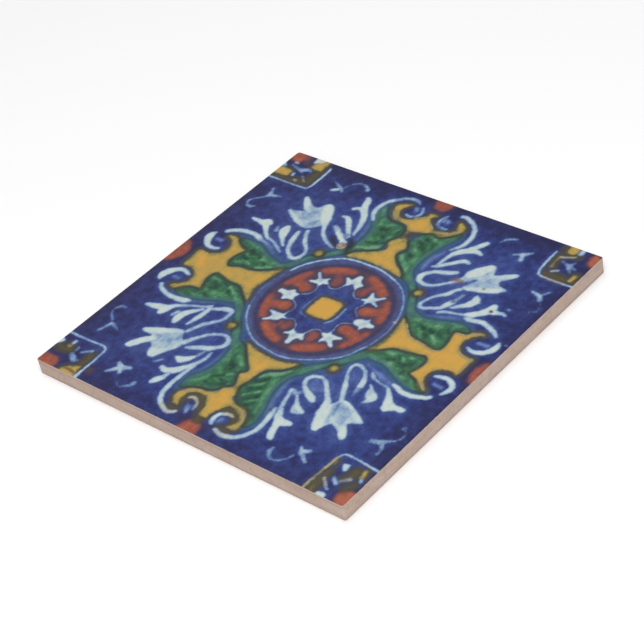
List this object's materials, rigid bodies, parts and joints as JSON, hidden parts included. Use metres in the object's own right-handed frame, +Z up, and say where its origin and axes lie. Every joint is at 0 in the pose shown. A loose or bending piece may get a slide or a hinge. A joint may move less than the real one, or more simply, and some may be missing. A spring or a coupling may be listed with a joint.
{
  "type": "talavera tile",
  "caption": "Square hand-painted majolica wall tile of fired clay, with a flat bed face, straight edges and barely rounded corners.",
  "frame": {"origin": "centre of the bed face, on the surface that the tile lies on", "axes": "+Z up out of the glazed face; +X and +Y along the two pairs of sides"},
  "size_m": [0.15, 0.15, 0.007],
  "materials": {
    "glaze": "satin gloss cobalt glaze, hand-painted in white, yellow, green and rust",
    "bisque": "bare fired clay, matt and slightly gritty"
  },
  "bodies": {
    "root": {"tile": "glaze"}
  },
  "joints": []
}
